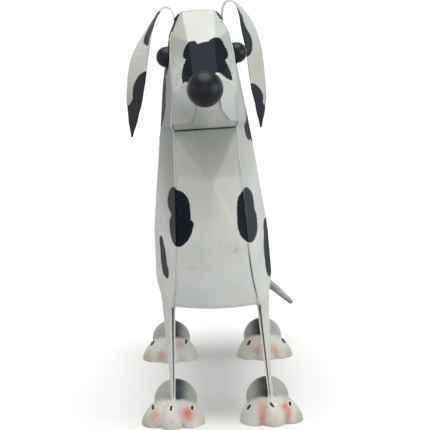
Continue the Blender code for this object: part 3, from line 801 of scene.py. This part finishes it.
pawPaint = {
    "toe": "#D5D3C9",
    # heel: partly the maker's grey, partly painted shade under the body
    "heel": "#9C9E99",
    "paintedLegShadow": "#1B2431",
    "olive": "#8D8C78",
    "blush": "#C9694A",
    "claw": "#0A0C10",
    "halo": "#E8E6DC",
    "spray": 5 * mm,
    "peel": 1.2 * mm,
    "clawHalf": 1.25,        # pixels, half a claw's width
    "noClaw": 9.0,           # mm, far from any claw
}
# claws: place, half length and tilt of the stroke, in pixels and degrees; blush: place and reach
pawMarks = {
    "paw_front_right": {
        "claws": [(152.9, 407.2, 1.5, 0), (171.1, 408.3, 1.5, 10), (192.2, 407.8, 1.2, 0)],
        "blush": [(155, 415, 4, 6, 0.55), (187, 412.5, 5.5, 5, 0.95), (188, 418, 5, 4, 0.5)]},
    "paw_front_left": {
        "claws": [(248.9, 407, 1.9, 32), (272, 405, 1.9, -42), (290, 403.6, 1.2, -8)],
        "blush": [(262.5, 408, 4, 6, 0.6), (261.5, 418, 2.6, 8, 0.8), (285, 406, 3.4, 4, 0.85),
                  (288, 414, 3, 7, 0.75)]},
    "paw_rear_right": {
        "claws": [(152.5, 343, 1.8, 35), (167.4, 344.8, 1.3, 0), (186.2, 341.4, 1.3, 12)],
        "blush": [(162, 356, 4, 4, 0.5), (179.5, 345, 4, 4, 0.5)]},
    "paw_rear_left": {
        "claws": [(248.9, 342.8, 1.8, 30), (267.5, 344, 1.2, 0), (283.5, 340.7, 1.8, -38)],
        "blush": [(256.5, 350, 4, 4, 0.55), (273, 350, 4, 4, 0.55)]},
}


def pawColours(node, places, normals, middle):
    sign = -1 if node.endswith("right") else 1
    pixels, scale = toPixels(places)
    front = smoothShare(facesCamera(places, normals), 0.0, 0.25)
    local = (places - np.array(middle)) / mm
    inner = -sign * local[:, 0]                    # towards the other paw
    heel = smoothShare(local[:, 1], -16, -2) * smoothShare(local[:, 2], 12, 24)
    colour = np.tile(linearColour(pawPaint["toe"]), (len(places), 1))

    def brush(name, amount):
        nonlocal colour
        amount = np.clip(amount, 0, 1)[:, None]
        colour = colour * (1 - amount) + np.array(linearColour(pawPaint[name])) * amount

    # painted shade: the heel greyed where it lies under the body, partly the maker's grey, and the leg's
    # painted shadow on the heel's inner half
    brush("heel", heel * 0.8)
    brush("paintedLegShadow", heel * smoothShare(inner, -3, 3) * (1 - smoothShare(inner, 6, 22)) * 0.94 * front)
    outerFlank = smoothShare(-inner, 18, 34) * (1 - smoothShare(local[:, 2], 6, 20))
    brush("olive", outerFlank * 0.55 + smoothShare(inner, 26, 36) * 0.2)
    for across, down, wide, tall, amount in pawMarks[node]["blush"]:
        away = ((pixels[:, 0] - across) / wide) ** 2 + ((pixels[:, 1] - down) / tall) ** 2
        brush("blush", np.exp(-away * 0.7) * amount * front)
    claw = np.full(len(places), pawPaint["noClaw"])
    for across, down, half, tilt in pawMarks[node]["claws"]:
        way = np.array([sin(radians(tilt)), -cos(radians(tilt))]) * half
        away = pixels - np.array([across, down])
        t = np.clip((away @ way) / (way @ way), -1, 1)
        reach = np.linalg.norm(away - t[:, None] * way, axis=1) - pawPaint["clawHalf"]
        claw = np.where(front > 0.5, np.minimum(claw, reach * scale), claw)
    return colour, claw


def pawEnamelMaterial():
    material, tree, place = newMaterial("airbrushed enamel with painted shade on pressed steel paws")
    paint = addNode(tree, "ShaderNodeAttribute", attribute_name="paint")
    claw = addNode(tree, "ShaderNodeAttribute", attribute_name="claw").outputs["Fac"]
    spray = addNode(tree, "ShaderNodeTexNoise",
                    {"Vector": place, "Scale": 1 / pawPaint["spray"], "Detail": 4.0, "Roughness": 0.7})
    peel = addNode(tree, "ShaderNodeTexNoise",
                   {"Vector": place, "Scale": 1 / pawPaint["peel"], "Detail": 1.0})
    shade = addNode(tree, "ShaderNodeMapRange",
                    {"Value": spray, "From Min": 0.3, "From Max": 0.7, "To Min": 0.86, "To Max": 1.08})
    speckled = addNode(tree, "ShaderNodeMix",
                       {"Factor": 1.0, "A": paint.outputs["Color"], "B": shade},
                       data_type="RGBA", blend_type="MULTIPLY")
    wobble = addNode(tree, "ShaderNodeMath", {0: spray, 1: 0.8, 2: claw}, operation="MULTIPLY_ADD")
    ring = addNode(tree, "ShaderNodeMapRange",
                   {"Value": wobble, "From Min": 2.3, "From Max": 0.7,
                    "To Max": 0.75}, interpolation_type="SMOOTHSTEP")
    haloed = addNode(tree, "ShaderNodeMix",
                     {"Factor": ring, "A": speckled, "B": inkColour(pawPaint["halo"])}, data_type="RGBA")
    stroke = addNode(tree, "ShaderNodeMapRange",
                     {"Value": wobble, "From Min": 0.75, "From Max": 0.15}, interpolation_type="SMOOTHSTEP")
    colour = addNode(tree, "ShaderNodeMix",
                     {"Factor": stroke, "A": haloed, "B": inkColour(pawPaint["claw"])}, data_type="RGBA")
    height = addNode(tree, "ShaderNodeMath", {0: stroke, 1: 2.0, 2: peel}, operation="MULTIPLY_ADD")
    rough = addNode(tree, "ShaderNodeMapRange", {"Value": spray, "To Min": 0.3, "To Max": 0.5})
    paintSurface(tree, colour, rough, height)
    return material


pawEnamel = pawEnamelMaterial()


def makePaw(end, side):
    node = "paw_" + end + "_" + side
    low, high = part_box(node)
    sign = -1 if side == "right" else 1
    places = pawPlaces(sign * pawForm["toeOut"][end])
    middle = (places.min(axis=0) + places.max(axis=0)) / 2
    shift = np.array((low + high) / 2) - middle
    shift[2] = low.z
    places = places + shift
    turns, rings = pawForm["turns"], pawForm["rings"]
    faces = [list(range(turns))[::-1]]
    for ring in range(rings - 1):
        for k in range(turns):
            p, q = ring * turns + k, ring * turns + (k + 1) % turns
            faces.append([p, q, q + turns, p + turns])
    last, top = (rings - 1) * turns, len(places) - 1
    faces += [[last + k, last + (k + 1) % turns, top] for k in range(turns)]
    data = bpy.data.meshes.new(node)
    data.from_pydata(places.tolist(), [], faces)
    data.polygons.foreach_set("use_smooth", [False] + [True] * (len(faces) - 1))
    data.materials.append(pawEnamel)
    item = addObject("Paw" + end.title() + side.title(), data)
    centre = ((low + high) / 2).copy()
    centre.z = 0
    colours, claw = pawColours(node, places, surfaceOf(item)[1], centre)
    colours = np.column_stack([colours, np.ones(len(colours))]).astype(np.float32)
    layer = data.attributes.new("paint", "FLOAT_COLOR", "POINT")
    layer.data.foreach_set("color", colours.ravel())
    giveAttribute(item, "claw", claw)
    install(item, "paw_enamel", node)


for end in ("front", "rear"):
    for side in ("right", "left"):
        makePaw(end, side)
print("paws pressed and painted")


def growingTree(name, amounts, number, form):
    # a tree that grows a form on a path, with its named inputs and its output
    tree = bpy.data.node_groups.new(name, "GeometryNodeTree")
    inputs = [("Path", "Geometry")] + [(amount, "Float") for amount in amounts]
    for label, kind in inputs + [(number, "Int"), ("Finish", "Material")]:
        tree.interface.new_socket(label, in_out="INPUT", socket_type="NodeSocket" + kind)
    tree.interface.new_socket(form, in_out="OUTPUT", socket_type="NodeSocketGeometry")
    return tree, addNode(tree, "NodeGroupInput").outputs


def skinCurve(tree, given, curve, radius, sides):
    # the curve's round skin, made real and given its finish
    ring = addNode(tree, "GeometryNodeCurvePrimitiveCircle",
                   {"Resolution": sides, "Radius": 1.0}, mode="RADIUS")
    skin = addNode(tree, "GeometryNodeCurveToMesh",
                   {"Curve": curve, "Profile Curve": ring, "Scale": radius, "Fill Caps": True})
    plain = addNode(tree, "GeometryNodeRealizeInstances", {"Geometry": skin})
    finish = addNode(tree, "GeometryNodeSetMaterial", {"Geometry": plain, "Material": given["Finish"]})
    addNode(tree, "NodeGroupOutput", {0: finish})
    return tree


def grownMesh(name, paths, tree, values):
    # paths become loose edges, the tree grows the form on them, and the result is a plain mesh
    holder = bmesh.new()
    for path, closed in paths:
        line = [holder.verts.new(place) for place in path]
        for a, b in zip(line, line[1:]):
            holder.edges.new((a, b))
        if closed:
            holder.edges.new((line[-1], line[0]))
    data = bpy.data.meshes.new(name + "Path")
    holder.to_mesh(data)
    holder.free()
    item = addObject(name, data)
    grow = item.modifiers.new(name, "NODES")
    grow.node_group = tree
    for socket in tree.interface.items_tree:
        if socket.in_out == "INPUT" and socket.name in values:
            grow[socket.identifier] = values[socket.name]
    bpy.context.view_layer.update()
    graph = bpy.context.evaluated_depsgraph_get()
    grown = bpy.data.meshes.new_from_object(item.evaluated_get(graph))
    item.modifiers.clear()
    item.data = grown
    grown.name = name
    grown.polygons.foreach_set("use_smooth", [True] * len(grown.polygons))
    return item


# Tail: a bar drawn out by hammering, its centre line in mm, in satin grey enamel whose grey is partly a grey
# coat and partly painted shade, the tail lying in the body's shade
tailBar = {
    "line": [(-5, 192, 203), (-5, 210.8, 182), (3, 220.8, 150), (26, 220, 114), (50, 213, 89),
             (75, 201, 70.5), (98.6, 187.6, 51.5)],
    "root": 22 * mm,
    "tip": 4.6 * mm,
    "taper": 0.65,           # below 1 the bar keeps its thickness longer
    "roundedEnd": 0.012,     # share of the length
    "sides": 28,
    "hammerMark": 9 * mm,
    "hammerDepth": 0.18 * mm,
    "grey": "#868D8F",
    "pale": "#AEB4B3",
    "paintedUnderShade": "#141920",
    "cloud": 16 * mm,
    "peel": 1.2 * mm,
}


def tailMaterial():
    material, tree, place = newMaterial("satin grey enamel with painted shade on a drawn bar")
    cloud = addNode(tree, "ShaderNodeTexNoise",
                    {"Vector": place, "Scale": 1 / tailBar["cloud"], "Detail": 4.0})
    share = addNode(tree, "ShaderNodeMapRange", {"Value": cloud, "From Min": 0.35, "From Max": 0.65})
    grey = addNode(tree, "ShaderNodeMix",
                   {"Factor": share, "A": inkColour(tailBar["grey"]),
                    "B": inkColour(tailBar["pale"])}, data_type="RGBA")
    # painted shade: the tail darkens towards its underside, read from the spot attribute
    low = addNode(tree, "ShaderNodeAttribute", attribute_name="spot").outputs["Fac"]
    wobble = addNode(tree, "ShaderNodeMath", {0: cloud, 1: 3.0, 2: low}, operation="MULTIPLY_ADD")
    undersideShade = addNode(tree, "ShaderNodeMapRange",
                   {"Value": wobble, "From Min": 2.6, "From Max": 0.6}, interpolation_type="SMOOTHSTEP")
    colour = addNode(tree, "ShaderNodeMix",
                     {"Factor": undersideShade, "A": grey, "B": inkColour(tailBar["paintedUnderShade"])}, data_type="RGBA")
    peel = addNode(tree, "ShaderNodeTexNoise",
                   {"Vector": place, "Scale": 1 / tailBar["peel"], "Detail": 1.0})
    paintSurface(tree, colour, 0.42, peel)
    return material


def throughPoints(points, steps):
    points = np.array(points, float)
    padded = np.vstack([points[0] * 2 - points[1], points, points[-1] * 2 - points[-2]])
    curve = []
    for p0, p1, p2, p3 in zip(padded, padded[1:], padded[2:], padded[3:]):
        curve += curveBetween(p0, p1, p2, p3, steps)
    return np.array(curve + [points[-1]])


def taperedBarTree():
    amounts = ("Root Width", "Tip Width", "Taper", "Rounded End")
    tree, given = growingTree("taperedBar", amounts, "Sides", "Bar")
    curve = addNode(tree, "GeometryNodeMeshToCurve", {"Mesh": given["Path"]})
    even = addNode(tree, "GeometryNodeResampleCurve", {"Curve": curve, "Count": 240}, mode="COUNT")
    along = addNode(tree, "GeometryNodeSplineParameter").outputs["Factor"]
    left = addNode(tree, "ShaderNodeMath", {0: 1.0, 1: along}, operation="SUBTRACT")
    slope = addNode(tree, "ShaderNodeMath", {0: left, 1: given["Taper"]}, operation="POWER")
    width = addNode(tree, "ShaderNodeMapRange",
                    {"Value": slope, "To Min": given["Tip Width"], "To Max": given["Root Width"]})
    ending = addNode(tree, "ShaderNodeMapRange",
                     {"Value": left, "From Min": given["Rounded End"], "From Max": 0.0, "To Max": 0.93})
    square = addNode(tree, "ShaderNodeMath", {0: ending, 1: 2.0}, operation="POWER")
    rest = addNode(tree, "ShaderNodeMath", {0: 1.0, 1: square}, operation="SUBTRACT")
    dome = addNode(tree, "ShaderNodeMath", {0: rest}, operation="SQRT")
    half = addNode(tree, "ShaderNodeMath", {0: width, 1: 0.5}, operation="MULTIPLY")
    radius = addNode(tree, "ShaderNodeMath", {0: half, 1: dome}, operation="MULTIPLY")
    return skinCurve(tree, given, even, radius, given["Sides"])


def makeTail():
    path = throughPoints(tailBar["line"], 12) * mm
    tail = grownMesh("TailBar", [(path, False)], taperedBarTree(),
                     {"Root Width": tailBar["root"], "Tip Width": tailBar["tip"], "Taper": tailBar["taper"],
                      "Rounded End": tailBar["roundedEnd"], "Sides": tailBar["sides"],
                      "Finish": tailMaterial()})
    for vertex in tail.data.vertices:
        mark = noise.noise(vertex.co / tailBar["hammerMark"])
        vertex.co += vertex.normal * mark * tailBar["hammerDepth"]
    # painted shade: the spot value is lowest where the surface faces down, darkening the underside
    giveAttribute(tail, "spot", 2.4 + surfaceOf(tail)[1][:, 2] * 5.0)
    install(tail, "grey_enamel", "tail")


makeTail()
print("tail in place")


# Seams and joints are welded: a bead with the ripples of a weaving torch
weldBead = {
    "width": {"seam": 1.5 * mm, "foot": 2.4 * mm, "ball": 2.0 * mm},
    "ripplePitch": 1.4 * mm,
    "rippleHeight": 0.22,      # share of the bead
    "seed": 7,
    "dust": 1.6,               # mm from the seam, for the dust that lies on the beads
    "bare": 9,                 # mm from a spot's edge, and as far inside one
    "black": -9,
    "apart": 3 * mm,           # two panels' edges closer than this share one bead
    "reach": {"ear": 0.5 * mm, "leg": 0.6 * mm, "foot": 0.6 * mm, "tail": 0.6 * mm, "ball": 0.5 * mm},
    "shortest": 4,             # points on a run that is worth a bead
    "underChin": {"above": 0.31, "before": -0.14},      # metres, no bead is seen there
}


def weldBeadTree():
    tree, given = growingTree("weldBead", ("Bead Width", "Ripple Pitch", "Ripple Height"), "Seed", "Bead")
    step = addNode(tree, "ShaderNodeMath", {0: given["Ripple Pitch"], 1: 4.0}, operation="DIVIDE")
    curve = addNode(tree, "GeometryNodeMeshToCurve", {"Mesh": given["Path"]})
    even = addNode(tree, "GeometryNodeResampleCurve", {"Curve": curve, "Length": step}, mode="LENGTH")
    along = addNode(tree, "GeometryNodeSplineParameter").outputs["Length"]
    turns = addNode(tree, "ShaderNodeMath", {0: along, 1: given["Ripple Pitch"]}, operation="DIVIDE")
    angle = addNode(tree, "ShaderNodeMath", {0: turns, 1: pi}, operation="MULTIPLY")
    wave = addNode(tree, "ShaderNodeMath", {0: angle}, operation="SINE")
    scallop = addNode(tree, "ShaderNodeMath", {0: wave}, operation="ABSOLUTE")
    swell = addNode(tree, "ShaderNodeMath",
                    {0: scallop, 1: given["Ripple Height"], 2: 0.85}, operation="MULTIPLY_ADD")
    uneven = addNode(tree, "FunctionNodeRandomValue",
                     {2: 0.92, 3: 1.08, "Seed": given["Seed"]}, data_type="FLOAT")
    size = addNode(tree, "ShaderNodeMath", {0: swell, 1: uneven}, operation="MULTIPLY")
    half = addNode(tree, "ShaderNodeMath", {0: given["Bead Width"], 1: 0.5}, operation="MULTIPLY")
    radius = addNode(tree, "ShaderNodeMath", {0: size, 1: half}, operation="MULTIPLY")
    return skinCurve(tree, given, even, radius, 7)


weldTree = weldBeadTree()


def rimLoops(places, rim):
    ways = {}
    for a, b in rim:
        ways.setdefault(int(a), []).append(int(b))
        ways.setdefault(int(b), []).append(int(a))
    seen, loops = set(), []
    for start in ways:
        if start in seen:
            continue
        loop = [start]
        seen.add(start)
        while True:
            onward = [way for way in ways[loop[-1]] if way not in seen]
            if not onward:
                break
            loop.append(onward[0])
            seen.add(onward[0])
        loops.append(places[loop])
    return loops


def seamPaths():
    # each seam is welded once, though two panels meet there
    seam, chin = sheetMetal["openSeam"], weldBead["underChin"]
    welded, paths = [], []
    order = ("side_panel_right", "side_panel_left", "back_panel", "chest_panel", "belly_panel")
    runs = {node: (places, rim) for node, places, rim in rimRuns}
    for node in order:
        for loop in rimLoops(*runs[node]):
            done = nearestOf(welded, range(len(welded)))
            free = [not welded or done.find(place)[2] > weldBead["apart"] for place in loop]
            for number, place in enumerate(loop):
                x, y, z = place
                unclosed = x > seam["beyond"] and y < seam["before"] and seam["bottom"] < z < seam["top"]
                underChin = z > chin["above"] and y < chin["before"] and node == "chest_panel"
                free[number] = free[number] and not unclosed and not underChin
            if all(free):
                paths.append((loop, True))
            elif any(free):
                turn = free.index(False)
                ordered = np.roll(loop, -turn, axis=0)
                flags = free[turn:] + free[:turn]
                run = []
                for place, isFree in zip(list(ordered) + [None], flags + [False]):
                    if isFree:
                        run.append(place)
                        continue
                    if len(run) > weldBead["shortest"]:
                        paths.append((run, False))
                    run = []
            welded += list(loop)
    return paths


def jointPath(node, others, reach):
    # the line round a piece where it meets what carries it
    piece, carrier = mergedCopy(node), solidTree(others)
    touching = [vertex.co.copy() for vertex in piece.verts if carrier.find_nearest(vertex.co, reach)[0]]
    piece.free()
    if len(touching) < 3:
        print("  no joint found for", node)
        return []
    middle = sum(touching, Vector()) / len(touching)
    spread = np.array([place - middle for place in touching])
    axes = np.linalg.svd(spread)[2]
    flat = spread @ axes[:2].T
    hull = convex_hull_2d([tuple(place) for place in flat])
    return [([touching[number] for number in hull], True)]


def makeWelds(name, kind, paths, spot=None):
    values = {"Bead Width": weldBead["width"][kind], "Ripple Pitch": weldBead["ripplePitch"],
              "Ripple Height": weldBead["rippleHeight"], "Seed": weldBead["seed"], "Finish": sheetEnamel}
    item = grownMesh(name, paths, weldTree, values)
    places, normals = surfaceOf(item)
    giveAttribute(item, "rim", np.full(len(places), weldBead["dust"]))
    marks = spotDistance("welds", places, normals) if spot is None else np.full(len(places), spot)
    giveAttribute(item, "spot", marks)
    install(item, "white_enamel")
    print(" ", name, len(item.data.polygons), "faces on", len(paths), "paths")


reach = weldBead["reach"]
seams = seamPaths()
for side in ("right", "left"):
    seams += jointPath("ear_" + side, ["side_panel_" + side], reach["ear"])
    for end in ("front", "rear"):
        seams += jointPath(end + "_leg_" + side, ["side_panel_" + side, "belly_panel"], reach["leg"])
seams += jointPath("tail", ["back_panel"], reach["tail"])
makeWelds("SeamWelds", "seam", seams)
feet, balls = [], []
for side in ("right", "left"):
    for end in ("front", "rear"):
        feet += jointPath(end + "_leg_" + side, ["paw_" + end + "_" + side], reach["foot"])
    balls += jointPath("eye_" + side, ["side_panel_" + side], reach["ball"])
balls += jointPath("nose_ball", ["head_shell", "chin_plate"], reach["ball"])
makeWelds("FootWelds", "foot", feet, weldBead["bare"])
makeWelds("BallWelds", "ball", balls, weldBead["black"])
print("seams and joints welded")


# Soft daylight studio: wide skylights, cooler and stronger on the dog's left
studio = {
    # how bright the room is: height of the look (0 straight down, 1 straight up) and brightness
    "room": [(0.0, 0.56), (0.47, 0.56), (0.492, 0.93), (0.60, 0.93), (0.68, 0.42), (1.0, 0.42)],
    "lights": [
        # name, where it shines from, width of the light in degrees, strength, colour
        ("overhead", (0, 0, 1), 60, 1.95, "#FEFEFC"),
        ("front", (0, -0.6, 1), 40, 0.20, "#FFFFFF"),
        ("leftOfDog", (1, -0.4, 0.1), 50, 1.04, "#E6F1F3"),
    ],
    "floor": "#F9F9F8",
    "floorReach": 16,
}


def makeStudio():
    world = bpy.data.worlds.new("softRoom")
    bpy.context.scene.world = world
    world.use_nodes = True
    tree = world.node_tree
    tree.nodes.clear()
    look = addNode(tree, "ShaderNodeTexCoord").outputs["Generated"]
    height = addNode(tree, "ShaderNodeSeparateXYZ", {0: look})
    share = addNode(tree, "ShaderNodeMapRange",
                    {"Value": height.outputs["Z"], "From Min": -1.0, "From Max": 1.0})
    room = addNode(tree, "ShaderNodeValToRGB", {"Fac": share})
    stops = room.color_ramp.elements
    for number, (place, bright) in enumerate(studio["room"]):
        stop = stops[number] if number < 2 else stops.new(place)
        stop.position, stop.color = place, (bright, bright, bright, 1)
    background = addNode(tree, "ShaderNodeBackground", {"Color": room, "Strength": 1.0})
    addNode(tree, "ShaderNodeOutputWorld", {"Surface": background})
    for name, source, width, strength, colour in studio["lights"]:
        data = bpy.data.lights.new(name, "SUN")
        data.angle, data.energy, data.color = radians(width), strength, linearColour(colour)
        light = addObject(name, data)
        light.location = Vector(source).normalized() * 3
        light.rotation_mode = "QUATERNION"
        light.rotation_quaternion = Vector(source).to_track_quat("Z", "Y")
    bpy.context.scene.view_settings.view_transform = "Standard"


def makeFloor():
    material, tree, place = newMaterial("matte white paper")
    grain = addNode(tree, "ShaderNodeTexNoise", {"Vector": place, "Scale": 3.0, "Detail": 2.0})
    shade = addNode(tree, "ShaderNodeMapRange", {"Value": grain, "To Min": 0.62, "To Max": 0.7})
    shader = addNode(tree, "ShaderNodeBsdfPrincipled",
                     {"Base Color": inkColour(studio["floor"]), "Roughness": shade,
                      "Specular IOR Level": 0.1})
    addNode(tree, "ShaderNodeOutputMaterial", {"Surface": shader})
    reach = studio["floorReach"]
    data = bpy.data.meshes.new("floor")
    data.from_pydata([(-reach, -reach, 0), (reach, -reach, 0), (reach, reach, 0), (-reach, reach, 0)], [],
                     [(0, 1, 2, 3)])
    data.materials.append(material)
    floor = addObject("paperFloor", data)
    floor.visible_diffuse = False        # its bounce would wash out the shaded sides
    floor.visible_glossy = False


makeStudio()
makeFloor()
print("studio lit")
